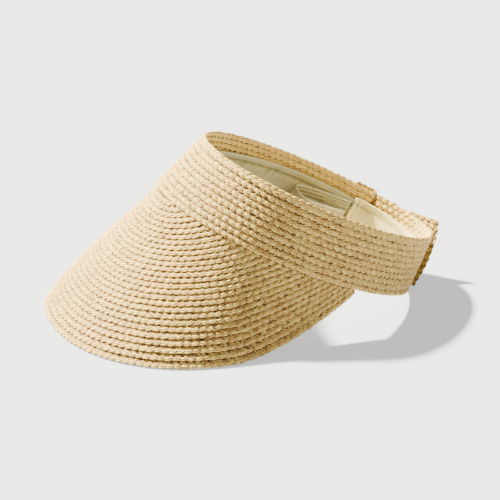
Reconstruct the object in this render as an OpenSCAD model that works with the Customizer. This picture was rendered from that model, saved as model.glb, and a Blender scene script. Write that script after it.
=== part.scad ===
// Roll-up straw sun visor: plaited straw rows sewn side by side into a brim and a head band,
// closed at the back by a straw tab, with a fabric lining and a ribbon loop inside.
// Units are millimetres. The visor stands on a flat surface at z = 0, its front towards -Y.

/* [Head band] */
// Half the width of the band along its lower edge
band_half_width_low = 83.0; // [65:0.1:100]
// Half the length of the band along its lower edge
band_half_length_low = 110.9; // [90:0.1:130]
// Half the width of the band along its top edge
band_half_width_top = 73.4; // [60:0.1:95]
// Half the length of the band along its top edge
band_half_length_top = 101.1; // [85:0.1:125]
// How far the lower edge is set back from the band's centre
band_low_set_back = -0.7; // [-5:0.1:5]
// How far the top edge is set back from the band's centre
band_top_set_back = 6.6; // [0:0.1:15]
// Height of the band, lower edge to top edge
band_height = 48.3; // [35:0.1:70]
// How much narrower the lower edge gets towards the back
band_taper_low = 0.1; // [0:0.01:0.3]
// How much narrower the top edge gets towards the back
band_taper_top = 0.07; // [0:0.01:0.3]
// Number of plait rows in the band
band_rows = 10; // [6:1:14]

/* [Stance] */
// Backward tilt of the band when the visor stands on a table
band_tilt = 26.8; // [15:0.1:35]
// Distance from the brim's centre back to the band's centre
band_set_back = 85.7; // [70:0.1:100]
// Height of the band's centre above the table
band_lift = 51.1; // [40:0.1:70]

/* [Brim] */
// Radius of the brim's outer edge at the front
brim_radius = 101.7; // [85:0.1:120]
// Width of the brim's outer edge against its length
brim_widening = 1.085; // [1:0.005:1.2]
// Angle from the front at which the edge leaves the table
brim_floor_angle = 107.5; // [90:0.5:125]
// How fast the edge climbs to the band behind that angle
brim_tail_rise = 23.8; // [15:0.1:50]
// Shape of that climb, 1 is straight
brim_tail_curve = 1.6; // [1:0.05:2]
// Angle round the band at which the brim runs out
brim_end_angle = 109.5; // [95:0.5:125]
// Outward swell of the brim's sides, as a share of their width
brim_swell_side = 0.047; // [0:0.001:0.1]
// Outward swell of the brim's front, as a share of its width
brim_swell_front = 0.03; // [0:0.001:0.1]
// How much of the swell lies near the outer edge, 0 is even
brim_swell_skew = 0.8; // [0:0.05:1]
// How far the front of the edge reaches out on the wearer's right, as a share of its radius
brim_bulge = 0.053; // [0:0.001:0.1]
// Angle from the front of that reach
brim_bulge_angle = -30; // [-60:1:60]
// How wide that reach is, in degrees
brim_bulge_width = 22; // [15:1:60]
// Number of plait rows in the brim
brim_rows = 28; // [20:1:36]

/* [Straw plait] */
// Thickness of the plait
straw_thick = 2.2; // [1.5:0.1:3.5]
// How far each row's lower edge stands proud of the row below
shingle = 0.6; // [0:0.05:1]
// Clearance between neighbouring rows
row_gap = 0.1; // [0.02:0.01:0.2]

/* [Closure] */
// Angle round the band where its two ends meet
split_angle = -135; // [-150:0.5:-110]
// Width of the slit between the two ends, in degrees round the band
split_width = 1.8; // [0.5:0.1:6]
// Angle round the band where the tab's sewn end starts
tab_start_angle = -114; // [-125:0.5:-100]
// Angle round the band where the tab leaves it and can bend
tab_bend_angle = -131.5; // [-134:0.5:-120]
// Angle round the band where the tab's lower edge leaves it
tab_leave_low = -168; // [-175:0.5:-140]
// Angle round the band where the tab's top edge leaves it
tab_leave_top = -149; // [-165:0.5:-138]
// Room between the tab and the band for the two fastening patches
tab_stand = 1.6; // [0.5:0.1:3]
// Sideways position of the tab's free end, bottom and top
tab_end_side = [4.7, -13.3];
// Rearward position of the tab's free end, bottom and top
tab_end_back = [116.2, 120.1];
// Height of the tab's free end above the band's lower edge, bottom and top
tab_end_height = [2.1, 55.4];
// How far the middle of the tab's free end bows rearward
tab_end_bow = 2.0; // [0:0.1:5]

/* [Lining] */
// Thickness of the sweatband and the back lining
cloth_thick = 1.0; // [0.5:0.1:2]
// Height of the sweatband's top edge, as a share of the band
sweatband_top = 0.81; // [0.6:0.01:0.95]
// Angle of the seam between the sweatband and the back lining
lining_seam_angle = -128; // [-132:0.5:-110]
// Angle of the other end of the back lining, on the opposite side
lining_far_angle = 150; // [120:1:170]

/* [Ribbon loop] */
// Thickness of the ribbon
ribbon_thick = 1.1; // [0.5:0.1:2]
// Angle round the band of the loop's fold
ribbon_fold_angle = -100; // [-115:0.5:-80]
// How far the loop stands off the wall
ribbon_bow = 15; // [3:0.5:20]

/* [Hidden] */
function two(i) = i < 10 ? str("0", i) : str(i);
function brim_name(i) = str("brim_row_", two(i));
function band_name(i) = str("band_row_", two(i));
straw = [0.93, 0.85, 0.68];
straw_lit = [0.95, 0.88, 0.72];
sage = [0.66, 0.62, 0.46];
cream = [0.87, 0.83, 0.68];
thread = [0.90, 0.86, 0.72];
frame_shift = [0, -58.1, 0.66];
half = straw_thick / 2;
inner = -half;
outer = half + shingle / 2;
tab_off = outer + 0.15;

function unit(v) = v / norm(v);
function place(side, back, up) = [side,
    band_set_back + back * cos(band_tilt) + up * sin(band_tilt),
    band_lift - back * sin(band_tilt) + up * cos(band_tilt)];

// Points of the band: a is the angle from the front, positive to the wearer's left
function egg(a, taper) = sin(a) * pow((1.1 + cos(a)) / 1.1, taper);
function ring_low(a) = place(band_half_width_low * egg(a, band_taper_low),
    band_low_set_back - band_half_length_low * cos(a), 0);
function ring_top(a) = place(band_half_width_top * egg(a, band_taper_top),
    band_top_set_back - band_half_length_top * cos(a), band_height);
function band_base(a, f) = ring_low(a) + (ring_top(a) - ring_low(a)) * f;
function band_normal(a, f) = unit(cross(band_base(a + 0.5, f) - band_base(a - 0.5, f),
    ring_top(a) - ring_low(a)));
function band_point(a, f, n) = band_base(a, f) + band_normal(a, f) * n;
function band_section(a, f0, f1, n0, n1) = [band_point(a, f0, n0), band_point(a, f0, n1),
    band_point(a, f1, n1), band_point(a, f1, n0)];

// Points of the brim: d is the distance in from its outer edge
function even_edge(s) = let (
    straight = max(0, abs(s) - brim_floor_angle),
    rise = max(0, abs(s) - brim_floor_angle + 8),
    r = brim_radius / cos(straight))
    [r * sin(s) * brim_widening, -r * cos(s), brim_tail_rise * pow(tan(rise), brim_tail_curve)];
function edge_point(s) = let (p = even_edge(s),
    k = 1 + brim_bulge * exp(-pow((s - brim_bulge_angle) / brim_bulge_width, 2)))
    [p[0] * k, p[1] * k, p[2]];
function brim_angle(a) = atan2(ring_low(a)[0] / brim_widening, -ring_low(a)[1]);
function brim_reach(a) = norm(ring_low(a) - even_edge(brim_angle(a)));
function swell(a) = brim_swell_side
    - (brim_swell_side - brim_swell_front) * pow(max(0, cos(brim_angle(a))), 2);
function brim_base(a, d) = let (s = brim_angle(a), e = edge_point(s), b = ring_low(a),
    w = brim_reach(a), t = d / w)
    e + (b - e) * t + [0, 0, 4 * swell(a) * w * t * (1 - t) * (1 + brim_swell_skew * (1 - 2 * t))];
function brim_normal(a, d) = unit(cross(brim_base(a + 0.4, d) - brim_base(a - 0.4, d),
    brim_base(a, d + 0.4) - brim_base(a, d - 0.4)));
function brim_point(a, d, n) = brim_base(a, d) + brim_normal(a, d) * n;

// A solid through a list of sections that all have the same number of corners
module sweep(sections) {
    n = len(sections);
    m = len(sections[0]);
    points = [for (s = sections) for (p = s) p];
    sides = [for (i = [0 : n - 2]) for (j = [0 : m - 1]) each [
        [i * m + j, (i + 1) * m + (j + 1) % m, (i + 1) * m + j],
        [i * m + j, i * m + (j + 1) % m, (i + 1) * m + (j + 1) % m]]];
    first = [for (j = [1 : m - 2]) [0, j + 1, j]];
    last = [for (j = [1 : m - 2]) [(n - 1) * m, (n - 1) * m + j, (n - 1) * m + j + 1]];
    translate(frame_shift) polyhedron(points, concat(sides, first, last), convexity = 8);
}

// Straw rows: every row is cut at the same angles, so neighbours meet without crossing
seam_room = 1.4;
row_pitch = (brim_reach(0) - seam_room) / brim_rows;
function run_out(width, lo, hi, k) = k == 0 ? lo : let (m = (lo + hi) / 2)
    brim_reach(m) > width ? run_out(width, m, hi, k - 1) : run_out(width, lo, m, k - 1);
row_ends = [for (j = [0 : brim_rows])
    run_out(j * row_pitch + seam_room, 0, brim_end_angle, 18)];
front_angles = [for (k = [0 : 6]) row_ends[brim_rows - 1] * pow(k / 7, 1.8)];
side_angles = [for (j = [brim_rows - 1 : -1 : 1])
    let (m = ceil((row_ends[j - 1] - row_ends[j]) / 5))
    for (q = [0 : m - 1]) row_ends[j] + (row_ends[j - 1] - row_ends[j]) * q / m];
cut_angles = concat(front_angles, side_angles);
function brim_row_section(a, i) = let (
    top = min(i * row_pitch - row_gap / 2, brim_reach(a) - seam_room),
    low = (i - 1) * row_pitch + row_gap / 2)
    [brim_point(a, low, inner), brim_point(a, low, outer),
    brim_point(a, top, half - shingle / 2), brim_point(a, top, inner)];
module brim_row(i) {
    cuts = [for (a = cut_angles) if (a < row_ends[i - 1] - 0.01) a];
    n = len(cuts);
    left = [for (a = cuts) brim_row_section(a, i)];
    right = [for (k = [n - 1 : -1 : 1]) brim_row_section(-cuts[k], i)];
    left_end = left[n - 1] * 0.15 + brim_row_section(row_ends[i - 1], i) * 0.85;
    right_end = right[0] * 0.15 + brim_row_section(-row_ends[i - 1], i) * 0.85;
    color(straw) sweep(concat([right_end], right, left, [left_end]));
}
ring_step = (360 - split_width) / 72;
ring_from = split_angle + split_width / 2;
module band_row(i) {
    low = (i - 1) / band_rows + row_gap / 2 / band_height;
    top = i / band_rows - row_gap / 2 / band_height;
    color(straw) sweep([for (k = [0 : 72]) let (a = ring_from + k * ring_step)
        [band_point(a, low, inner), band_point(a, low, outer),
        band_point(a, top, half - shingle / 2), band_point(a, top, inner)]]);
}
module frayed_plait_end() {
    color(straw_lit) sweep([for (k = [0 : 6]) let (a = split_angle + 1.2 + k * 1.6, t = k / 6)
        band_section(a, 1.002, 1.07 - 0.05 * t, -0.8, 0.8)]);
}

// Closure tab: follows the band as far as tab_leave, then runs straight on
function tab_leave(f) = tab_leave_low + (tab_leave_top - tab_leave_low) * f;
function tab_curved(f) = 0.75 - 0.32 * f;
function tab_clear(a) = tab_off + tab_stand * min(1, max(0, (tab_bend_angle - a) / 7));
function tab_base(x, f) = let (
    share = min(1, x / tab_curved(f)),
    a = tab_bend_angle - 0.12 + (tab_leave(f) - tab_bend_angle) * share,
    start = band_point(a, f, tab_clear(a)),
    end = place(tab_end_side[0], tab_end_back[0], tab_end_height[0]) * (1 - f)
        + place(tab_end_side[1], tab_end_back[1], tab_end_height[1]) * f
        + [0, tab_end_bow * 4 * f * (1 - f), 0])
    start + (end - start) * max(0, x - tab_curved(f)) / (1 - tab_curved(f));
function tab_normal(x, f) = unit(cross(tab_base(x, f + 0.02) - tab_base(x, f - 0.02),
    tab_base(x + 0.02, f) - tab_base(x - 0.02, f)));
function tab_point(x, f, n) = tab_base(x, f) + tab_normal(x, f) * n;
function tab_section(x, f0, f1, n0, n1) = [tab_point(x, f0, n0), tab_point(x, f1, n0),
    tab_point(x, f1, n1), tab_point(x, f0, n1)];
module closure_tab_sewn_end() {
    color(straw_lit) sweep([for (k = [0 : 12])
        let (a = tab_bend_angle + (tab_start_angle - tab_bend_angle) * k / 12)
        band_section(a, 0, 1, tab_off, tab_off + straw_thick)]);
}
function tab_strip(x, cuts, n0, n1) = concat(
    [for (c = cuts) tab_point(x, c, n0)],
    [for (k = [len(cuts) - 1 : -1 : 0]) tab_point(x, cuts[k], n1)]);
module closure_tab() {
    cuts = [for (k = [0 : 5]) k / 5];
    color(straw_lit) sweep([for (k = [0 : 24]) tab_strip(k / 24, cuts, 0, straw_thick)]);
}
module hook_patch() {
    cuts = [0.2, 0.4, 0.6, 0.8];
    color(cream) sweep([for (k = [3 : 9]) tab_strip(k / 24, cuts, -0.7, -0.03)]);
}
module loop_patch() {
    color(cream) sweep([for (k = [0 : 8])
        band_section(-156 + 18 * k / 8, 0.25, 0.75, outer + 0.03, outer + 0.7)]);
}

// Cloth pieces on the inside of the band
cloth_off = 0.12;
module lining(from, to, low, top) {
    first = ceil((from - ring_from) / ring_step);
    last = floor((to - ring_from) / ring_step);
    sweep([for (a = concat([from], [for (k = [first : last]) ring_from + k * ring_step], [to]))
        band_section(a, low, top, inner - cloth_off - cloth_thick, inner - cloth_off)]);
}
module sweatband() {
    color(sage) lining(lining_seam_angle + 0.2, lining_far_angle - 0.2, 0.02, sweatband_top);
}
module back_lining() {
    color(cream) lining(lining_far_angle + 0.2, lining_seam_angle + 359.8, 0.02, 0.83);
}

// Ribbon loop: out along the wall, round the fold and back
lining_face = inner - cloth_off - cloth_thick;
function loop_path(t) = let (reach = ribbon_fold_angle - lining_seam_angle - 1.2)
    t < 0.5 ? [lining_seam_angle + 1.2 + reach * sin(180 * t),
        lining_face - 0.9 - 1.6 * pow(2 * t, 4)]
    : [lining_seam_angle + 1.2 + reach * sin(180 * t),
        lining_face - 3.3 - ribbon_bow * pow(sin(360 * t - 180), 0.9)];
function loop_mid(t, f) = let (p = loop_path(t)) band_point(p[0], f, p[1]);
function loop_side(t, f) = unit(cross(loop_mid(t + 0.01, f) - loop_mid(t - 0.01, f),
    ring_top(0) - ring_low(0)));
function loop_section(t) = let (top = 0.54 + 0.19 * pow(1 - t, 2.2), w = ribbon_thick / 2) [
    loop_mid(t, 0.1) - loop_side(t, 0.1) * w, loop_mid(t, 0.1) + loop_side(t, 0.1) * w,
    loop_mid(t, top) + loop_side(t, top) * w, loop_mid(t, top) - loop_side(t, top) * w];
module ribbon_loop() {
    color(sage) sweep([for (k = [0 : 40]) loop_section(0.01 + 0.98 * k / 40)]);
}
module ribbon_bar_tack() {
    color(thread) sweep([for (a = [lining_seam_angle + 0.5, lining_seam_angle + 0.9])
        band_section(a, 0.15, 0.66, lining_face - 0.75, lining_face - 0.12)]);
}

// Rows of stitches
module band_stitches(from, to, f0, f1, n0, n1, count) {
    pitch = (to - from) / count;
    for (k = [0 : count - 1])
        sweep([for (a = [from + pitch * (k + 0.2), from + pitch * (k + 0.8)])
            band_section(a, f0, f1, n0, n1)]);
}
module sweatband_stitching() {
    color(thread) band_stitches(lining_seam_angle + 2, lining_far_angle - 2, 0.765, 0.775,
        lining_face - 0.45, lining_face - 0.12, 66);
}
module lining_stitching() {
    color(thread) band_stitches(lining_far_angle + 2, lining_seam_angle + 358, 0.785, 0.795,
        lining_face - 0.45, lining_face - 0.12, 20);
}
module tab_stitching() {
    color(thread) for (a = [tab_start_angle - 1.5, tab_bend_angle + 1.5]) for (k = [0 : 9])
        sweep([for (b = [a - 0.25, a + 0.25]) band_section(b, 0.04 + k * 0.095, 0.1 + k * 0.095,
            tab_off + straw_thick + 0.03, tab_off + straw_thick + 0.35)]);
}
module brim_seam_stitching() {
    color(thread) band_stitches(-brim_end_angle, brim_end_angle, 0.03, 0.045,
        outer + 0.05, outer + 0.4, 60);
}

for (i = [1 : brim_rows]) brim_row(i);
for (i = [1 : band_rows]) band_row(i);
frayed_plait_end();
closure_tab_sewn_end();
closure_tab();
hook_patch();
loop_patch();
sweatband();
back_lining();
ribbon_loop();
ribbon_bar_tack();
sweatband_stitching();
lining_stitching();
tab_stitching();
brim_seam_stitching();
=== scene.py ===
"""The straw sun visor's visible model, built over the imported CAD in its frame.

Shapes are worked out in millimetres from the same formulas as part.scad and written to
Blender in metres. Every straw row is a real three-strand plait with a core.

The names used throughout: a is an angle round the band in degrees, 0 at the front and
positive on the wearer's left; f is a share of the band's height; d is a distance in from
the brim's outer edge; n is a height off the straw's middle, outwards.
"""

import bpy
import numpy as np
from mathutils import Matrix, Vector


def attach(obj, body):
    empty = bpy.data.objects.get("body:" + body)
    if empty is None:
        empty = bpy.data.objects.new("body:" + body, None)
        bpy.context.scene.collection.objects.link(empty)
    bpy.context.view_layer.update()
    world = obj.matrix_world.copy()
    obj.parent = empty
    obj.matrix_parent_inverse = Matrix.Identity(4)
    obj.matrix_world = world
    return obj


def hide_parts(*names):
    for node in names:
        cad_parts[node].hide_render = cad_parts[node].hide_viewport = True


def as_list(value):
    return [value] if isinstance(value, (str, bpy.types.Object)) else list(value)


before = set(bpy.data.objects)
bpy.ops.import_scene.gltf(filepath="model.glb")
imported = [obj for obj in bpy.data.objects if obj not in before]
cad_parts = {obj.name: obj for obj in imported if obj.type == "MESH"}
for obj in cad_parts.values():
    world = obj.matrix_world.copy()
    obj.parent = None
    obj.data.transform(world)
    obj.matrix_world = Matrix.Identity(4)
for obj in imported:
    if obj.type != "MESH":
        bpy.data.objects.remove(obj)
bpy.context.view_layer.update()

MM = 0.001
rng = np.random.default_rng(7)

# ---------------------------------------------------------------- shape of the visor
BAND_ROWS, BRIM_ROWS = 10, 28
FRAME_SHIFT = np.array([0.0, -58.1, 0.66])

# the band leans back; its rings are given in its own axes, from their middle
TILT = 26.8
BAND_SET_BACK, BAND_LIFT, BAND_HEIGHT = 85.7, 51.1, 48.3
LOW_HALF_WIDTH, LOW_HALF_LENGTH, LOW_SET_BACK, LOW_TAPER = 83.0, 110.9, -0.7, 0.1
TOP_HALF_WIDTH, TOP_HALF_LENGTH, TOP_SET_BACK, TOP_TAPER = 73.4, 101.1, 6.6, 0.07
SPLIT, SPLIT_WIDTH = -135.0, 1.8
RING_FROM = SPLIT + SPLIT_WIDTH / 2
RING_TO = RING_FROM + 360 - SPLIT_WIDTH
OUTER = 1.4

# the brim's outer edge lies on the table in front and climbs to the band behind
BRIM_RADIUS, BRIM_WIDENING = 101.7, 1.085
FLOOR_ANGLE, RISE_EARLY, TAIL_RISE, TAIL_CURVE = 107.5, 8.0, 23.8, 1.6
BRIM_END_ANGLE, SEAM_ROOM = 109.5, 1.4
SWELL_SIDE, SWELL_FRONT, SWELL_SKEW = 0.047, 0.03, 0.8
BULGE, BULGE_ANGLE, BULGE_WIDTH = 0.053, -30.0, 22.0

# the closure tab follows the band from its bend and leaves it straight
TAB_OFF, TAB_STAND = OUTER + 0.15, 1.6
TAB_START, TAB_BEND = -114.0, -131.5
TAB_LEAVE_LOW, TAB_LEAVE_TOP = -168.0, -149.0
TAB_END_LOW, TAB_END_TOP, TAB_END_BOW = (4.7, 116.2, 2.1), (-13.3, 120.1, 55.4), 2.0

# the ribbon is caught in the seam at SEAM_ANGLE and lies on the lining's face
SEAM_ANGLE, LINING_FACE = -128.0, -2.22


def sind(a):
    return np.sin(np.radians(a))


def cosd(a):
    return np.cos(np.radians(a))


def stack(*parts):
    return np.stack(np.broadcast_arrays(*[np.asarray(p, float) for p in parts]), -1)


def unit(v):
    return v / np.maximum(np.linalg.norm(v, axis=-1, keepdims=True), 1e-12)


def column(v):
    return np.asarray(v, float)[..., None]


def place(side, back, up):
    """A point given in the band's own axes."""
    return stack(
        side,
        BAND_SET_BACK + back * cosd(TILT) + up * sind(TILT),
        BAND_LIFT - back * sind(TILT) + up * cosd(TILT),
    )


def egg(a, taper):
    """How far a ring reaches to the side, as a share: fuller in front than behind."""
    return sind(a) * ((1.1 + cosd(a)) / 1.1) ** taper


def ring_low(a):
    back = LOW_SET_BACK - LOW_HALF_LENGTH * cosd(a)
    return place(LOW_HALF_WIDTH * egg(a, LOW_TAPER), back, 0.0)


def ring_top(a):
    back = TOP_SET_BACK - TOP_HALF_LENGTH * cosd(a)
    return place(TOP_HALF_WIDTH * egg(a, TOP_TAPER), back, BAND_HEIGHT)


def band_base(a, f):
    return ring_low(a) + (ring_top(a) - ring_low(a)) * column(f)


def band_point(a, f, n):
    along = band_base(a + 0.5, f) - band_base(a - 0.5, f)
    normal = unit(np.cross(along, ring_top(a) - ring_low(a)))
    return band_base(a, f) + normal * column(n)


def even_edge(s):
    """The brim's outer edge at angle s round its own centre, without the bulge."""
    straight = np.maximum(0, np.abs(s) - FLOOR_ANGLE)
    rise = np.maximum(0, np.abs(s) - FLOOR_ANGLE + RISE_EARLY)
    r = BRIM_RADIUS / cosd(straight)
    up = TAIL_RISE * np.tan(np.radians(rise)) ** TAIL_CURVE
    return stack(r * sind(s) * BRIM_WIDENING, -r * cosd(s), up)


def edge_point(s):
    reach_out = 1 + BULGE * np.exp(-(((s - BULGE_ANGLE) / BULGE_WIDTH) ** 2))
    return even_edge(s) * stack(reach_out, reach_out, 1.0)


def brim_angle(a):
    p = ring_low(a)
    return np.degrees(np.arctan2(p[..., 0] / BRIM_WIDENING, -p[..., 1]))


def brim_reach(a):
    """The brim's width from its outer edge to the band."""
    return np.linalg.norm(ring_low(a) - even_edge(brim_angle(a)), axis=-1)


def brim_base(a, d):
    s = brim_angle(a)
    e, b = edge_point(s), ring_low(a)
    w = brim_reach(a)
    t = np.asarray(d, float) / w
    swell = SWELL_SIDE - (SWELL_SIDE - SWELL_FRONT) * np.maximum(0, cosd(s)) ** 2
    lift = 4 * swell * w * t * (1 - t) * (1 + SWELL_SKEW * (1 - 2 * t))
    return e + (b - e) * column(t) + stack(0.0, 0.0, lift)


def brim_point(a, d, n):
    d = np.asarray(d, float)
    normal = unit(
        np.cross(
            brim_base(a + 0.4, d) - brim_base(a - 0.4, d),
            brim_base(a, d + 0.4) - brim_base(a, d - 0.4),
        )
    )
    return brim_base(a, d) + normal * column(n)


ROW_PITCH = (float(brim_reach(0.0)) - SEAM_ROOM) / BRIM_ROWS


def row_end(j):
    """The angle round the band where brim row j + 1 has run in under it."""
    lo, hi = 0.0, BRIM_END_ANGLE
    inner_edge = j * ROW_PITCH + SEAM_ROOM
    if brim_reach(hi) > inner_edge:
        return hi
    for _ in range(30):
        mid = (lo + hi) / 2
        if brim_reach(mid) > inner_edge:
            lo = mid
        else:
            hi = mid
    return lo


def tab_base(x, f):
    """The tab's free strip: x goes from 0 at its bend to 1 at its end."""
    x, f = np.broadcast_arrays(np.asarray(x, float), np.asarray(f, float))
    curved = 0.75 - 0.32 * f
    leave = TAB_LEAVE_LOW + (TAB_LEAVE_TOP - TAB_LEAVE_LOW) * f
    a = TAB_BEND - 0.12 + (leave - TAB_BEND) * np.minimum(1, x / curved)
    clear = TAB_OFF + TAB_STAND * np.clip((TAB_BEND - a) / 7, 0, 1)
    start = band_point(a, f, clear)
    end = place(*TAB_END_LOW) * column(1 - f) + place(*TAB_END_TOP) * column(f)
    end = end + stack(0.0, TAB_END_BOW * 4 * f * (1 - f), 0.0)
    return start + (end - start) * column(np.maximum(0, x - curved) / (1 - curved))


def tab_point(x, f, n):
    normal = unit(
        np.cross(
            tab_base(x, f + 0.02) - tab_base(x, f - 0.02),
            tab_base(x + 0.02, f) - tab_base(x - 0.02, f),
        )
    )
    return tab_base(x, f) + normal * column(n)


# ---------------------------------------------------------------- mesh building
class Shape:
    """Collects strips and grids, with the values the materials read, into one mesh."""

    def __init__(self):
        self.points, self.faces, self.fibre, self.tone, self.count = [], [], [], [], 0

    def add(self, points, faces, fibre, tone):
        self.points.append(points.reshape(-1, 3))
        self.faces.append(np.asarray(faces, int) + self.count)
        self.fibre.append(fibre.reshape(-1, 3))
        self.tone.append(tone.reshape(-1))
        self.count += len(self.points[-1])

    def tube(
        self, line, side, up, width, thick, along, seed, tone, sides=6, flat=0.7, lean=0.0,
        inner=0.0,
    ):
        """A closed strip that follows line, width wide and thick thick, sides an even number.

        along and seed go to the fibre coordinates. tone is how light it is, and the strip's two
        side edges are darker as painted shade between neighbouring strips. lean is how much
        lighter its outer face is than its inner, used for painted shade, and inner is painted
        light added to its inner face."""
        k = len(line)
        phi = 2 * np.pi * np.arange(sides) / sides
        c, s = np.cos(phi), np.sin(phi)
        s = np.sign(s) * np.abs(s) ** flat
        w = np.broadcast_to(np.asarray(width, float), (k,))[:, None]
        h = np.broadcast_to(np.asarray(thick, float), (k,))[:, None]
        ring = (
            line[:, None]
            + side[:, None] * (w * c / 2)[..., None]
            + up[:, None] * (h * s / 2)[..., None]
        )
        i, j = np.meshgrid(np.arange(k - 1), np.arange(sides), indexing="ij")
        n = (j + 1) % sides
        quads = np.stack(
            [i * sides + j, i * sides + n, (i + 1) * sides + n, (i + 1) * sides + j], -1
        ).reshape(-1, 4)
        m = np.arange(0, sides - 2, 2)
        first = np.stack([0 * m, m + 3, m + 2, m + 1], -1)
        last = first[:, ::-1] + (k - 1) * sides
        fibre = stack(
            np.broadcast_to(np.asarray(along, float)[:, None], (k, sides)),
            np.broadcast_to(w * c / 2, (k, sides)),
            seed,
        )
        tone = np.broadcast_to(np.asarray(tone, float).reshape(-1, 1), (k, 1))
        lean = np.broadcast_to(np.asarray(lean, float).reshape(-1, 1), (k, 1))
        # painted shade: darker side edges and the lean term; painted light: the inner term
        value = tone + 0.5 * (np.abs(s[None]) - 0.8) + lean * s[None]
        value = value + inner * np.maximum(0, -s[None])
        self.add(ring, np.concatenate([quads, first, last]), fibre, value)

    def sheet(self, top, bottom, fibre, tone, tone_below=None):
        """A closed sheet between two grids of points of the same size."""
        rows, cols = top.shape[:2]
        index = np.arange(rows * cols).reshape(rows, cols)
        a, b = index[:-1, :-1], index[:-1, 1:]
        c, d = index[1:, 1:], index[1:, :-1]
        upper = np.stack([a, b, c, d], -1).reshape(-1, 4)
        lower = upper[:, ::-1] + rows * cols
        rim = np.concatenate([index[0], index[1:, -1], index[-1, -2::-1], index[-2:0:-1, 0]])
        after = np.roll(rim, -1)
        wall = np.stack([after, rim, rim + rows * cols, after + rows * cols], -1)
        self.add(
            np.concatenate([top.reshape(-1, 3), bottom.reshape(-1, 3)]),
            np.concatenate([upper, lower, wall]),
            np.concatenate([fibre.reshape(-1, 3)] * 2),
            np.concatenate([tone.ravel(), (tone if tone_below is None else tone_below).ravel()]),
        )

    def make(self, name, material, replaces, body="visor"):
        """The mesh as a piece that rides on body and stands for a CAD node."""
        points = (np.concatenate(self.points) + FRAME_SHIFT) * MM
        faces = np.concatenate(self.faces)
        mesh = bpy.data.meshes.new(name)
        mesh.vertices.add(len(points))
        mesh.vertices.foreach_set("co", points.astype(np.float32).ravel())
        mesh.loops.add(faces.size)
        mesh.loops.foreach_set("vertex_index", faces.astype(np.int32).ravel())
        mesh.polygons.add(len(faces))
        mesh.polygons.foreach_set("loop_start", np.arange(0, faces.size, 4, dtype=np.int32))
        mesh.update(calc_edges=True)
        mesh.validate()
        mesh.polygons.foreach_set("use_smooth", np.ones(len(mesh.polygons), bool))
        fibre = mesh.attributes.new("fibre", "FLOAT_VECTOR", "POINT")
        fibre.data.foreach_set("vector", np.concatenate(self.fibre).astype(np.float32).ravel())
        tone = mesh.attributes.new("tone", "FLOAT", "POINT")
        tone.data.foreach_set("value", np.concatenate(self.tone).astype(np.float32))
        mesh.materials.append(material)
        o = bpy.data.objects.new(name, mesh)
        bpy.context.scene.collection.objects.link(o)
        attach(o, body)
        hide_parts(replaces)
        return o


def wander(s, reach, size):
    """A smooth random value along s that changes over about reach."""
    knots = np.arange(s[0] - reach, s[-1] + 2 * reach, reach)
    return np.interp(s, knots, rng.normal(0, size, len(knots)))


def arc_table(points):
    """The length from the first point to each."""
    return np.concatenate([[0], np.cumsum(np.linalg.norm(np.diff(points, axis=0), axis=1))])


# ---------------------------------------------------------------- plait
LOBE = 5.75  # length along the row of one strand's crossing
PERIOD = 3 * LOBE
STEPS = 14  # points on each strand in one period
STRIP_HIGH = 49.0  # the band's height that a row's width is measured against


def frames(line, at, s, y, n):
    """Sideways and upward directions of a strip on the surface that at describes."""
    ahead = unit(np.gradient(line, axis=0))
    normal = unit(at(s, y, n + 0.5) - at(s, y, n - 0.5))
    side = unit(np.cross(normal, ahead))
    return side, np.cross(ahead, side)


def plait(
    shape, at, length, wide, low_n, top_n, hand, strand=2.9, weave=0.4, covered=99.0,
    thick=0.9, core=0.55, inner=0.0,
):
    """Three strands over and under each other along a row, with a core strand in them.

    at(s, y, n) gives the place s along the row, y in from its lower edge, n outwards. The
    row stands off by low_n at its lower edge and top_n at its upper, it reaches from
    y = -0.2 to wide - 0.2, and from y = covered on it lies under the next row and gets
    painted shade. A strand is two straws side by side, strand wide together. hand is 1 or
    -1, for the way it twists. inner is painted light added to the strands' inner faces."""
    amp = (wide - strand) / 2
    mid = wide / 2 - 0.2
    phase = rng.uniform(0, PERIOD)
    s = np.arange(0, length + 0.01, PERIOD / STEPS)
    if len(s) < 5:
        return
    for k in range(3):
        th = 2 * np.pi * ((s + phase) / PERIOD + k / 3)
        sway = (np.sin(th) + 0.15 * np.sin(3 * th)) / 0.87
        y = mid + amp * sway * (1 + wander(s, LOBE, 0.05)) + wander(s, 9, 0.08)
        over = hand * np.sin(2 * th)
        n = low_n + (top_n - low_n) * (y + 0.2) / wide + weave * over
        n = n + wander(s, LOBE, 0.05)
        line = at(s, y, n)
        side, up = frames(line, at, s, y, n)
        # painted shade: dark darkens each strand where it runs in under the next row, and lean
        # darkens it where it dips under the others; the tone also varies at random along it
        dark = 0.4 * np.clip((y - covered + 1.5) / 1.2, 0, 1)
        roll = 0.25 * np.cos(2 * th)[:, None]
        for edge in (-1, 1):
            turn = roll - 0.22 * edge
            tone = 0.46 + wander(s, 0.6 * LOBE, 0.16) + rng.normal(0, 0.06) - dark
            shift = edge * strand * (0.245 + wander(s, LOBE, 0.012))[:, None]
            shape.tube(
                line + side * shift + up * wander(s, LOBE, 0.07)[:, None],
                side + up * turn,
                up - side * turn,
                0.53 * strand * (1 + wander(s, LOBE, 0.07)),
                thick * (1 + wander(s, LOBE, 0.08)),
                s,
                rng.uniform(0, 50),
                tone,
                flat=0.8,
                lean=0.42 * over - dark,
                inner=inner,
            )
    # the core strand gets tone 0.05, the painted gap shade, so the holes between the strands look
    # dark
    s = np.arange(0, length + 0.01, 3.2)
    y = np.full(len(s), mid)
    n = np.full(len(s), (low_n + top_n) / 2 - 0.1)
    line = at(s, y, n)
    side, up = frames(line, at, s, y, n)
    shape.tube(line, side, up, wide * core, 0.4, s, rng.uniform(0, 50), 0.05)


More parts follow.
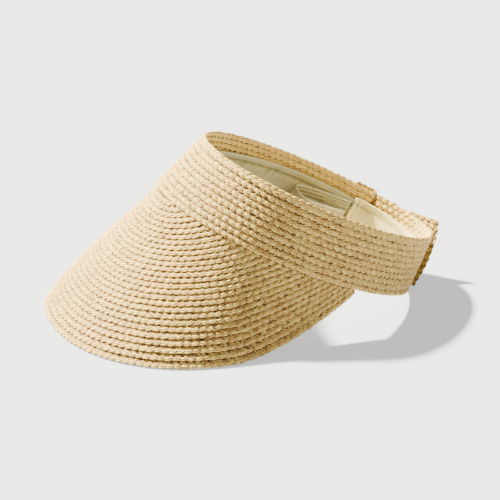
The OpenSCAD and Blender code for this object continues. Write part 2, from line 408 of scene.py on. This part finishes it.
def brim_row_map(i):
    """at(s, y, n) of brim row i, and its length."""
    end = row_end(i - 1)
    low = (i - 1) * ROW_PITCH
    a = np.linspace(-end, end, 500)
    table = arc_table(brim_base(a, np.minimum(low + 2.4, brim_reach(a))))

    def at(s, y, n):
        q = np.interp(s, table, a)
        return brim_point(q, np.minimum(low + y, brim_reach(q) + 0.5), n)

    return at, table[-1]


def band_row_map(i):
    a = np.linspace(RING_FROM, RING_TO, 900)
    table = arc_table(band_base(a, np.full(900, (i - 0.5) / BAND_ROWS)))
    high = np.linalg.norm(ring_top(a) - ring_low(a), axis=-1)

    def at(s, y, n):
        q = np.interp(s, table, a)
        return band_point(q, (i - 1) / BAND_ROWS + y / np.interp(s, table, high), n)

    return at, table[-1]


def tab_row_map(f0):
    x = np.linspace(0, 1, 200)
    table = arc_table(tab_base(x, np.full(200, f0 + 0.05)))
    high = np.linalg.norm(tab_base(x, np.ones(200)) - tab_base(x, np.zeros(200)), axis=-1)

    def at(s, y, n):
        q = np.interp(s, table, x)
        return tab_point(q, f0 + y / np.interp(s, table, high), n)

    return at, table[-1]


def sewn_row_map(f0):
    a = np.linspace(TAB_BEND, TAB_START, 60)
    table = arc_table(band_base(a, np.full(60, f0 + 0.05)))

    def at(s, y, n):
        q = np.interp(s, table, a)
        return band_point(q, f0 + y / STRIP_HIGH, TAB_OFF + n)

    return at, table[-1]


# ---------------------------------------------------------------- materials
class Nodes:
    """Short ways to add shader nodes."""

    def __init__(self, name):
        self.material = bpy.data.materials.new(name)
        self.material.use_nodes = True
        self.tree = self.material.node_tree
        self.shader = self.tree.nodes["Principled BSDF"]

    def new(self, kind, **values):
        node = self.tree.nodes.new("ShaderNode" + kind)
        for key, value in values.items():
            setattr(node, key, value)
        return node

    def put(self, value, socket):
        if isinstance(value, bpy.types.NodeSocket):
            self.tree.links.new(value, socket)
        elif value is not None:
            socket.default_value = value

    def math(self, operation, a, b=None):
        node = self.new("Math", operation=operation)
        for value, socket in zip((a, b), node.inputs):
            self.put(value, socket)
        return node.outputs[0]

    def mix(self, share, a, b):
        node = self.new("MixRGB")
        for value, socket in zip((share, a, b), node.inputs):
            self.put(value, socket)
        return node.outputs[0]

    def noise(self, vector, detail=2.0, rough=0.5):
        node = self.new("TexNoise")
        self.put(vector, node.inputs["Vector"])
        node.inputs["Scale"].default_value = 1.0
        node.inputs["Detail"].default_value = detail
        node.inputs["Roughness"].default_value = rough
        return node.outputs["Fac"]

    def ramp(self, value, low, high):
        node = self.new("MapRange")
        self.put(value, node.inputs["Value"])
        node.inputs["From Min"].default_value = low
        node.inputs["From Max"].default_value = high
        return node.outputs["Result"]

    def attribute(self, name):
        return self.new("Attribute", attribute_name=name, attribute_type="GEOMETRY")

    def bump(self, height, strength, distance):
        node = self.new("Bump")
        node.inputs["Strength"].default_value = strength
        node.inputs["Distance"].default_value = distance
        self.put(height, node.inputs["Height"])
        self.tree.links.new(node.outputs["Normal"], self.shader.inputs["Normal"])

    def finish(self, colour, roughness, specular=0.3, sheen=0.0):
        self.put(colour, self.shader.inputs["Base Color"])
        self.put(roughness, self.shader.inputs["Roughness"])
        self.shader.inputs["Specular IOR Level"].default_value = specular
        self.shader.inputs["Sheen Weight"].default_value = sheen
        return self.material


def fibre_vector(m, along, across, deep):
    """The strip's own coordinates, in millimetres, stretched for streaks along it."""
    parts = m.new("SeparateXYZ")
    m.tree.links.new(m.attribute("fibre").outputs["Vector"], parts.inputs[0])
    joined = m.new("CombineXYZ")
    for out, scale, socket in zip(parts.outputs, (along, across, deep), joined.inputs):
        m.tree.links.new(m.math("MULTIPLY", out, scale), socket)
    return joined.outputs[0]


def straw_material(name, painted_light, light, mid, deep, painted_gap_shade):
    """Straw with short streaks of the deep colour; low tone takes painted shade, first deep and
    then a darker gap brown, and high tone takes painted light in a paler gold.
    """
    m = Nodes(name)
    streak = m.noise(fibre_vector(m, 0.4, 2.6, 7.0), 3.0, 0.7)
    patch = m.noise(fibre_vector(m, 0.16, 0.3, 3.0))
    tone = m.attribute("tone").outputs["Fac"]
    body = m.mix(m.ramp(patch, 0.35, 0.68), mid, light)
    body = m.mix(m.math("MULTIPLY", m.ramp(streak, 0.47, 0.62), 0.85), body, deep)
    # painted shade where tone is low (strand edges, crossings, parts under the next row, the
    # core) and painted light where it is high (the band rows' inner faces); tone also varies at
    # random
    colour = m.mix(m.math("MULTIPLY", m.ramp(tone, 0.46, 0.14), 0.85), body, deep)
    colour = m.mix(m.math("MULTIPLY", m.ramp(tone, 0.16, -0.14), 0.92), colour, painted_gap_shade)
    colour = m.mix(m.math("MULTIPLY", m.ramp(tone, 0.9, 1.25), 0.72), colour, painted_light)
    m.bump(streak, 0.7, 0.0004)
    rough = m.math("ADD", 0.46, m.math("MULTIPLY", streak, 0.25))
    return m.finish(colour, rough, 0.34, 0.05)


def cloth_material(name, light, dark, pitch, ribbed=False, sheen=0.25, edge=(0.9, 0.82, 0.5)):
    """Woven cloth: two crossed sets of threads pitch millimetres apart, or ribs across.

    Where tone is high, as on a folded edge, a top edge or a raised rib, its colour goes halfway
    to edge as a painted highlight; where tone is low it darkens as painted shade."""
    m = Nodes(name)
    parts = m.new("SeparateXYZ")
    m.tree.links.new(m.attribute("fibre").outputs["Vector"], parts.inputs[0])
    k = 2 * np.pi / pitch
    warp = m.math("SINE", m.math("MULTIPLY", parts.outputs[0], k))
    weft = m.math("SINE", m.math("MULTIPLY", parts.outputs[1], k))
    weave = warp if ribbed else m.math("MULTIPLY", warp, weft)
    slub = m.noise(fibre_vector(m, 0.12, 0.12, 1.0), 3.0)
    fuzz = m.noise(fibre_vector(m, 2.2, 2.2, 1.0))
    share = m.math("ADD", m.ramp(weave, -2.2, 2.0), m.math("SUBTRACT", slub, 0.5))
    colour = m.mix(share, dark, light)
    colour = m.mix(m.math("MULTIPLY", fuzz, 0.25), colour, dark)
    tone = m.attribute("tone").outputs["Fac"]
    # painted highlight: high tone goes toward a light colour; the darkening below is painted
    # shade
    painted_highlight = tuple(0.55 * c + 0.42 * b for c, b in zip(light[:3], edge)) + (1,)
    colour = m.mix(m.ramp(tone, 0.6, 1.1), colour, painted_highlight)
    shade = m.ramp(tone, 0.5, -0.5)
    darkest = tuple(0.35 * c for c in dark[:3]) + (1,)
    colour = m.mix(m.math("MULTIPLY", shade, 0.7), colour, darkest)
    m.bump(m.math("ADD", weave, m.math("MULTIPLY", fuzz, 0.8)), 0.35, 0.00012)
    return m.finish(colour, 0.82, 0.2, sheen)


def rgb(r, g, b):
    """An sRGB colour as the linear one that shaders take."""
    return tuple(float(((c / 255 + 0.055) / 1.055) ** 2.4) for c in (r, g, b)) + (1.0,)


STRAW = straw_material(
    "straw",
    # the first colour is painted light for inner faces; the last two also serve as painted shade
    painted_light=rgb(253, 220, 120),
    light=rgb(247, 216, 114),
    mid=rgb(215, 172, 82),
    deep=rgb(142, 98, 42),
    painted_gap_shade=rgb(78, 48, 12),
)
SAGE = cloth_material("sage_cloth", rgb(216, 208, 160), rgb(172, 162, 112), 0.55)
CREAM = cloth_material("cream_cloth", rgb(255, 240, 168), rgb(240, 216, 130), 0.6)
# its edge colour is the painted highlight on the ribbon's corded edge and ribs
RIBBON = cloth_material(
    "sage_ribbon",
    rgb(220, 210, 158),
    rgb(150, 138, 88),
    0.9,
    ribbed=True,
    edge=(1.2, 1.16, 0.92),
)
THREAD = cloth_material("thread", rgb(226, 202, 138), rgb(190, 160, 96), 0.35, sheen=0.1)
TAPE = cloth_material("fastening_tape", rgb(226, 212, 166), rgb(190, 174, 126), 0.8)

# ---------------------------------------------------------------- straw rows
BRIM_PLAIT = dict(
    wide=6.6, low_n=0.7, top_n=-1.45, hand=-1.0, weave=0.42, covered=ROW_PITCH - 0.1, thick=1.0
)
# inner=0.8 is painted light on the band rows' inner faces
BAND_PLAIT = dict(
    wide=6.7, low_n=0.95, top_n=-0.6, hand=1.0, strand=3.0, weave=0.5, covered=4.9,
    thick=1.6, core=0.7, inner=0.8,
)
BAND_TOP_PLAIT = dict(
    wide=6.4, low_n=0.95, top_n=0.1, hand=1.0, strand=3.1, weave=0.6,
    thick=1.8, core=0.7, inner=0.8,
)
TAB_PLAIT = dict(
    wide=6.4, low_n=1.6, top_n=0.5, hand=1.0, weave=0.5, covered=4.9, thick=1.4, core=0.8
)
TAB_TOP_PLAIT = dict(
    wide=5.2, low_n=1.3, top_n=1.0, hand=1.0, strand=2.8, weave=0.5, thick=1.3, core=0.7
)
TAB_END_PLAIT = dict(wide=5.4, low_n=1.2, top_n=1.2, hand=-1.0, strand=2.6, weave=0.6)
STUB_PLAIT = dict(wide=4.6, low_n=0.3, top_n=0.3, hand=1.0, strand=2.2)

for i in range(1, BRIM_ROWS + 1):
    shape = Shape()
    at, length = brim_row_map(i)
    plait(shape, at, length, **BRIM_PLAIT)
    shape.make(f"brim_row_{i:02d}_plait", STRAW, replaces=f"brim_row_{i:02d}")

for i in range(1, BAND_ROWS + 1):
    shape = Shape()
    at, length = band_row_map(i)
    plait(shape, at, length, **(BAND_TOP_PLAIT if i == BAND_ROWS else BAND_PLAIT))
    shape.make(f"band_row_{i:02d}_plait", STRAW, replaces=f"band_row_{i:02d}")


def tab_end_map():
    """The plait that finishes the tab's free end, from its bottom to its top."""
    f = np.linspace(0, 1, 60)
    table = arc_table(tab_base(np.ones(60), f))

    def at(s, y, n):
        q = np.interp(s, table, f)
        reach = 33 + 9 * (1 - q)
        return tab_point(1.02 + 0.035 * np.sin(np.pi * q) - y / reach, q, n)

    return at, table[-1]


for name, row_map, body, node in (
    ("closure_tab_plait", tab_row_map, "tab", "closure_tab"),
    ("closure_tab_sewn_end_plait", sewn_row_map, "visor", "closure_tab_sewn_end"),
):
    shape = Shape()
    for i in range(BAND_ROWS):
        at, length = row_map(i / BAND_ROWS)
        plait(shape, at, length, **(TAB_TOP_PLAIT if i == BAND_ROWS - 1 else TAB_PLAIT))
    if body == "tab":
        at, length = tab_end_map()
        plait(shape, at, length, **TAB_END_PLAIT)
    shape.make(name, STRAW, body=body, replaces=node)

STUB_LONG, LOOSE_FIBRES = 17.0, 46


def stub_map(s, y, n):
    """The short plait end that stands on the band's top edge beside the cut."""
    return band_point(SPLIT + 1.4 + s * 0.62, 1.0 + (y * 0.8 - 0.02 * s) / STRIP_HIGH, n)


shape = Shape()
plait(shape, stub_map, STUB_LONG, **STUB_PLAIT)
for k in range(LOOSE_FIBRES):
    at_start = k % 3 > 0
    s0 = rng.uniform(0.0, 1.2) if at_start else rng.uniform(4, STUB_LONG)
    y0, n0 = rng.uniform(-1.5, 3.2), rng.uniform(-0.6, 0.8)
    long, lift = rng.uniform(1.8, 5.0), rng.uniform(0.4, 3.2)
    t = np.linspace(0, 1, 6)
    s = s0 + (-1 if at_start else 0.5) * long * 0.55 * t
    y = y0 + lift * t**1.5
    n = n0 + rng.normal(0, 1.0) * t**2
    line = stub_map(s, y, n)
    side, up = frames(line, stub_map, s, y, n)
    # tone 0.9 makes the loose fibres light: painted light, as if sunlit
    shape.tube(line, side, up, 0.42 - 0.2 * t, 0.28 - 0.1 * t, 5 * t, k, 0.9)
shape.make("frayed_plait_end_fibres", STRAW, replaces="frayed_plait_end")


# ---------------------------------------------------------------- cloth
def step_up(x, at, over):
    """0 before at, 1 after at + over, smooth between."""
    t = np.clip((x - at) / over, 0, 1)
    return t * t * (3 - 2 * t)


def smooth_noise(s, reach, size, seed):
    """Smooth random values at places s, the same for the same seed."""
    r = np.random.default_rng(seed)
    knots = np.arange(s.min() - 2 * reach, s.max() + 2 * reach, reach)
    value = r.normal(0, size, len(knots))
    at = (s - knots[0]) / reach
    i = np.clip(at.astype(int), 0, len(knots) - 2)
    t = step_up(at - i, 0, 1)
    return value[i] * (1 - t) + value[i + 1] * t


TURN = np.linspace(0, 360, 721)
BAND_LONG = arc_table(band_base(TURN, np.full(721, 0.5)))
CLOTH_HIGH = 49.5  # the band's height that depths on the cloths are measured against
SWEAT_FROM, SWEAT_TO = -127.9, 149.8
LINING_FROM, LINING_TO = 150.2, 232.7
CLOTH_FACE, CLOTH_THICK = -1.75, 0.55  # the face next to the straw, before any relief
HEM_DEPTH, SEAM_DEPTH, LINING_HEM_DEPTH = 4.6, 6.0, 4.2


def along_band(a):
    """The length round the band's middle from the front to angle a."""
    return np.interp(np.mod(a, 360), TURN, BAND_LONG)


def sweat_top(a):
    """How high the sweatband reaches, as a share of the band: lower at the front."""
    return 0.655 + 0.145 * step_up(np.abs(a), 25, 75) - 0.02 * step_up(-a, 118, 8)


def sweat_relief(a, h):
    """How far the sweatband stands off the straw, h millimetres below its top edge."""
    s = along_band(a)
    hem = 0.55 * (1 - step_up(h, HEM_DEPTH, 1.0))
    bead = 0.6 * np.exp(-((h - 0.5) ** 2) / 0.6)
    seam = -0.5 * np.exp(-((h - SEAM_DEPTH) ** 2) / 0.8)
    fade = np.exp(-np.maximum(0, h - 7) / 5) * step_up(h, 6.2, 1.2)
    tucks = 1.3 * fade * (0.4 + np.abs(smooth_noise(s, 1.6, 0.9, 3)))
    fold = step_up(h, 6, 8) * (
        0.8 + 0.9 * smooth_noise(s + 0.9 * h, 17, 1.0, 5) + 0.5 * smooth_noise(s - h, 9, 0.8, 6)
    )
    foot = (1 - step_up(h, 30, 8)) * step_up(a, -127.6, 6)
    return hem + bead + seam + (tucks + np.maximum(0, fold)) * foot


def lining_top(a):
    """The same for the back lining, with a from 150 to 232 degrees."""
    return 0.83 - 0.06 * np.exp(-(((a - 192) / 20) ** 2))


def lining_relief(a, h):
    """The same for the back lining, whose end is folded back and stitched down."""
    s = along_band(a)
    end = along_band(LINING_TO) - s
    hem = 0.4 * (1 - step_up(h, LINING_HEM_DEPTH, 1.0)) + 0.25 * np.exp(-((h - 0.4) ** 2) / 0.3)
    fold = 1.5 * (1 - step_up(end, 2.2, 0.9)) + 1.0 * np.exp(-((end - 4.8) ** 2) / 0.6)
    wave = 0.35 * (1 + smooth_noise(s + 0.5 * h, 12, 0.7, 8)) * step_up(h, 4, 6)
    return np.maximum(hem, 0) + fold + wave * (1 - step_up(h, 30, 8))


def cloth_point(a, h, top, relief, extra=0.0):
    return band_point(a, top(a) - h / CLOTH_HIGH, CLOTH_FACE - relief(a, h) - extra)


def band_cloth(name, a0, a1, top, relief, material, node):
    """A cloth piece inside the band from a0 to a1, and its length on a table in metres."""
    a = np.linspace(a0, a1, int((a1 - a0) * 1.45))[:, None]
    deep = (top(a) - 0.02) * CLOTH_HIGH
    h = deep * np.linspace(0, 1, 34)[None] ** 1.25
    a = np.broadcast_to(a, h.shape)
    inner = cloth_point(a, h, top, relief, CLOTH_THICK)
    outer = cloth_point(a, h, top, relief)
    fibre = stack(along_band(a), h, 1.0)
    # painted light and shade: the top edge gets a painted highlight, the tone follows the relief
    # so raised tucks and folds are lighter and hollows darker, the hem's seam groove gets painted
    # shade, with darker ticks every 4.1 mm below it, and the hem is a little darker
    dip = relief(a, h)
    tick = 0.35 * np.cos(2 * np.pi * along_band(a) / 4.1) * np.exp(-((h - 7.4) ** 2) / 2.5)
    tone = 0.5 + 0.35 * (dip - 0.9) - 0.85 * np.exp(-((h - SEAM_DEPTH) ** 2) / 0.7) - np.abs(tick)
    tone = tone - 0.15 * (1 - step_up(h, 4.8, 1))
    tone = np.minimum(tone, 0.62) + 0.7 * np.exp(-((h - 0.4) ** 2) / 0.7)
    shape = Shape()
    shape.sheet(inner, outer, fibre, tone)
    o = shape.make(name, material, replaces=node)
    long = float(along_band(a1) - along_band(a0)) % float(BAND_LONG[-1])
    return o, long * MM


CLOTH_WIDE = 0.039  # metres, cut width of both cloths
cloth, long = band_cloth(
    "sweatband_cloth", SWEAT_FROM, SWEAT_TO, sweat_top, sweat_relief, SAGE,
    node="sweatband",
)
SHEETS = [(cloth, (long, CLOTH_WIDE), "stretched", ["band_row_04_plait", "band_row_07_plait"])]
cloth, long = band_cloth(
    "back_lining_cloth", LINING_FROM, LINING_TO, lining_top, lining_relief, CREAM,
    node="back_lining",
)
SHEETS.append((cloth, (long, CLOTH_WIDE), "stretched", ["band_row_04_plait"]))


# ---------------------------------------------------------------- ribbon loop
LOOP_ROOT, LOOP_TURN, LOOP_BOW = SEAM_ANGLE + 1.2, -100.0, 15.0
RIBBON_LINES = 30  # points across the ribbon


def loop_mid(t, f):
    """The ribbon's middle: out along the lining, round the turn at t = 0.5 and back."""
    a = LOOP_ROOT + (LOOP_TURN - LOOP_ROOT) * np.sin(np.pi * t)
    far = LINING_FACE - 0.9 - 1.6 * (2 * t) ** 4
    near = LINING_FACE - 3.3 - LOOP_BOW * np.sin(np.pi * np.clip(2 * t - 1, 0, 1)) ** 0.9
    return band_point(a, f, np.where(t < 0.5, far, near))


t = np.linspace(0.01, 0.99, 240)[:, None]
v = np.linspace(0, 1, RIBBON_LINES)[None]
f = 0.06 + 0.19 * (1 - t) ** 2.2 + 0.48 * v
t = np.broadcast_to(t, f.shape)
mid = loop_mid(t, f)
across = unit(
    np.cross(loop_mid(t + 0.004, f) - loop_mid(t - 0.004, f), ring_top(0.0) - ring_low(0.0))
)
half = RIBBON_LINES // 2
inward = -np.sign(np.sum(across[5, half] * (band_point(-110, 0.5, 1) - band_point(-110, 0.5, 0))))
ridge = 0.3 * np.cos(v * 2 * np.pi * 7) + 0 * t
edging = 0.35 * step_up(v, 0.94, 0.03) * (1 - step_up(v, 0.985, 0.01))
run = arc_table(mid[:, half])
inside = column(inward * (0.5 + ridge + edging))
outside = column(inward * (0.35 + 0.05 * np.sin(7 * run)[:, None] + edging))
fibre = stack(run[:, None], f * CLOTH_HIGH, 2.0)
# painted light and shade: raised ribs lighter and the hollows between darker, and the top edge
# band gets a painted highlight on both faces
tone = 0.3 + 1.1 * ridge + 0.7 * step_up(v, 0.94, 0.03)
plain = 0.4 + 0.6 * step_up(v, 0.95, 0.03) + 0 * t
shape = Shape()
shape.sheet(mid + across * inside, mid - across * outside, fibre, tone, plain)
# a corded edge and four raised ribs along the ribbon, with tone 1.3 as a painted highlight
for share, size in ((1.0, 1.2), (0.87, 0.7), (0.73, 0.7), (0.58, 0.65), (0.43, 0.6)):
    k = int(round(share * (RIBBON_LINES - 1)))
    at_edge = 0.0 if share == 1.0 else inward * 0.55
    line = mid[:, k] + across[:, k] * at_edge
    upward = unit(mid[:, k] - mid[:, k - 1])
    shape.tube(line, across[:, k], upward, size, size, run, 2.0, 1.3, flat=1.0)
ribbon = shape.make(
    "ribbon_loop_sheet", RIBBON, body="ribbon", replaces="ribbon_loop"
)
RIBBON_WIDE = 0.024
SHEETS.append((ribbon, (RIBBON_WIDE, float(run[-1]) * MM), "folded", ["sweatband_cloth"]))


# ---------------------------------------------------------------- stitches
def stitches(name, starts, at, node, thick=0.42, material=THREAD):
    """One small arched thread for each start; at(k, t) gives its line and the way out."""
    shape = Shape()
    t = np.linspace(0, 1, 7)
    for k in starts:
        line, normal = at(k, t)
        line = line + normal * column(0.3 * np.sin(np.pi * t) - 0.12)
        side = unit(np.cross(normal, unit(np.gradient(line, axis=0))))
        shape.tube(line, side, normal, thick, thick * 0.8, 4 * t, 0.1 * k, 0.45, flat=1.0)
    shape.make(name, material, replaces=node)


def cloth_stitch(a0, a1, count, top, relief, depth):
    step = (a1 - a0) / count

    def at(k, t):
        a = a0 + step * (k + 0.2 + 0.6 * t)
        h = np.full(len(t), depth)
        face = cloth_point(a, h, top, relief, 0.6)
        return face, unit(cloth_point(a, h, top, relief, 1.6) - face)

    return at


def cloth_stitches(name, a0, a1, count, top, relief, depth, node):
    stitches(name, range(count), cloth_stitch(a0, a1, count, top, relief, depth), node)


cloth_stitches(
    "sweatband_stitches", -126, 148, 66, sweat_top, sweat_relief, 6.2, "sweatband_stitching"
)
cloth_stitches(
    "lining_stitches", 152, 228, 20, lining_top, lining_relief, 2.6, "lining_stitching"
)

FOOT_STITCHES, TAB_LINE_STITCHES, TACK_STITCHES = 60, 10, 24


def foot_stitch(k, t):
    a = BRIM_END_ANGLE * (2 * (k + 0.2 + 0.6 * t) / FOOT_STITCHES - 1)
    face = band_point(a, 0.035, 1.25)
    return face, unit(band_point(a, 0.035, 2.25) - face)


def tab_stitch(k, t):
    """Two upright lines, near the tab's start and near its bend."""
    a = (-115.5 if k < TAB_LINE_STITCHES else -130.0) + 0 * t
    f = 0.04 + (k % TAB_LINE_STITCHES) * 0.095 + 0.06 * t
    face = band_point(a, f, TAB_OFF + 2.3)
    return face, unit(band_point(a, f, TAB_OFF + 3.3) - face)


def tack_stitch(k, t):
    a = SEAM_ANGLE + 0.2 + 1.1 * t
    f = 0.16 + 0.0175 * k + 0 * t
    face = band_point(a, f, LINING_FACE - 0.95)
    return face, unit(face - band_point(a, f, LINING_FACE))


stitches(
    "brim_seam_stitches", range(FOOT_STITCHES), foot_stitch, "brim_seam_stitching", 0.32, STRAW
)
stitches("tab_stitches", range(2 * TAB_LINE_STITCHES), tab_stitch, "tab_stitching")
stitches("ribbon_bar_tack_threads", range(TACK_STITCHES), tack_stitch, "ribbon_bar_tack")


# ---------------------------------------------------------------- hook and loop tape
def tape(name, at, wide, high, lift, hooked, body, node):
    """A woven tape with a pile: at(u, v, n) takes shares of its size and a height.

    Hooks are open and all turned one way, loops are closed and turned at random."""
    shape = Shape()
    u, v = np.meshgrid(np.linspace(0, 1, 24), np.linspace(0, 1, 30), indexing="ij")
    edge = np.minimum(np.minimum(u, 1 - u) * wide, np.minimum(v, 1 - v) * high)
    top = at(u, v, lift * (0.62 + 0.1 * (edge > 1.5)))
    shape.sheet(top, at(u, v, 0 * u), stack(u * wide, v * high, 3.0), 0.4 + 0 * u)
    rows, columns = int(high / 1.5), int(wide / 1.3)
    t = np.linspace(0, 1, 6)
    for i in range(1, rows):
        for j in range(1, columns):
            u0 = (j + rng.uniform(-0.2, 0.2) + 0.5 * (i % 2)) / (columns + 0.5)
            v0 = (i + rng.uniform(-0.2, 0.2)) / rows
            turn = np.pi / 2 if hooked else rng.uniform(0, 2 * np.pi)
            bend = np.pi * t * (0.72 if hooked else 1.0)
            out = 0.55 * (1 - np.cos(bend)) / 2
            up = lift * 0.6 + (0.75 if hooked else 0.5) * np.sin(bend)
            line = at(u0 + out * np.cos(turn) / wide, v0 + out * np.sin(turn) / high, up)
            ahead = unit(np.gradient(line, axis=0))
            side = unit(np.cross(ahead, np.array([0.3, 0.5, 0.81])))
            shape.tube(
                line, side, np.cross(ahead, side), 0.17, 0.17, t, 1.0, 0.5, sides=4, flat=1.0
            )
    shape.make(name, TAPE, body=body, replaces=node)


def hook_at(u, v, n):
    return tab_point(0.125 + 0.25 * u, 0.2 + 0.6 * v, 0.25 - np.asarray(n, float) * 0.7)


def loop_at(u, v, n):
    u, v, n = np.broadcast_arrays(np.asarray(u, float), v, n)
    return band_point(-156 + 18 * u, 0.25 + 0.5 * v, OUTER - 0.1 + n)


tape("hook_patch_tape", hook_at, 18, 29, 0.7, True, "tab", "hook_patch")
tape("loop_patch_tape", loop_at, 26, 25, 0.7, False, "visor", "loop_patch")

for o, flat, held, on in SHEETS:
    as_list(on)

# ---------------------------------------------------------------- stage
def staged(name, data):
    """A new object in the scene that is no piece of the visor."""
    o = bpy.data.objects.new(name, data)
    bpy.context.scene.collection.objects.link(o)
    return o


def turned(direction):
    return direction.to_track_quat("Z", "Y").to_euler()


floor = staged("floor", bpy.data.meshes.new("floor"))
corners = [(-6, -6, 0), (6, -6, 0), (6, 6, 0), (-6, 6, 0)]
floor.data.from_pydata(corners, [], [(0, 1, 2, 3)])
# a lit table top, as used for catalogue pictures: it keeps the shadow light
m = Nodes("floor_paint")
m.shader.inputs["Emission Color"].default_value = (0.96, 0.98, 1.0, 1)
m.shader.inputs["Emission Strength"].default_value = 0.7
floor.data.materials.append(m.finish((0.33, 0.348, 0.415, 1), 0.9, 0.0))

# the camera stands DISTANCE metres from AIM, turned from the visor's front to its left
AZIMUTH, ELEVATION, DISTANCE = 73.62, 22.52, 2.340
AIM = Vector((0.0, -0.0113, 0.04746))
FOCAL_LENGTH, SHIFT = 216.0, (0.0243, -0.0023)
towards = Vector(
    (sind(AZIMUTH) * cosd(ELEVATION), -cosd(AZIMUTH) * cosd(ELEVATION), sind(ELEVATION))
)
camera = staged("camera", bpy.data.cameras.new("camera"))
camera.location = AIM + towards * DISTANCE
camera.rotation_euler = turned(towards)
camera.data.lens = FOCAL_LENGTH
camera.data.shift_x, camera.data.shift_y = SHIFT
camera.data.clip_end = 50
bpy.context.scene.camera = camera

SUN_STRENGTH, SUN_COLOUR, SUN_SOFTNESS = 38.0, (1.0, 0.955, 0.75), 5
SUN_FROM = Vector((-0.6, -0.52, 1.0))
sun = staged("sun", bpy.data.lights.new("sun", "SUN"))
sun.data.energy = SUN_STRENGTH
sun.data.color = SUN_COLOUR
sun.data.angle = np.radians(SUN_SOFTNESS)
sun.rotation_euler = turned(SUN_FROM)

# the sky is brightest overhead, so that it fills the shadow more than the sides
SKY_LOW, SKY_HIGH, SKY_STRENGTH = (0.15, 0.15, 0.15, 1), (0.9, 0.98, 1.12, 1), 0.66
world = bpy.data.worlds.new("sky")
world.use_nodes = True
tree = world.node_tree
height = tree.nodes.new("ShaderNodeSeparateXYZ")
tree.links.new(tree.nodes.new("ShaderNodeTexCoord").outputs["Generated"], height.inputs[0])
square = tree.nodes.new("ShaderNodeMath")
square.operation = "POWER"
square.inputs[1].default_value = 2.0
tree.links.new(height.outputs["Z"], square.inputs[0])
glow = tree.nodes.new("ShaderNodeMixRGB")
glow.inputs[1].default_value = SKY_LOW
glow.inputs[2].default_value = SKY_HIGH
tree.links.new(square.outputs[0], glow.inputs[0])
tree.links.new(glow.outputs[0], tree.nodes["Background"].inputs[0])
tree.nodes["Background"].inputs[1].default_value = SKY_STRENGTH
bpy.context.scene.world = world
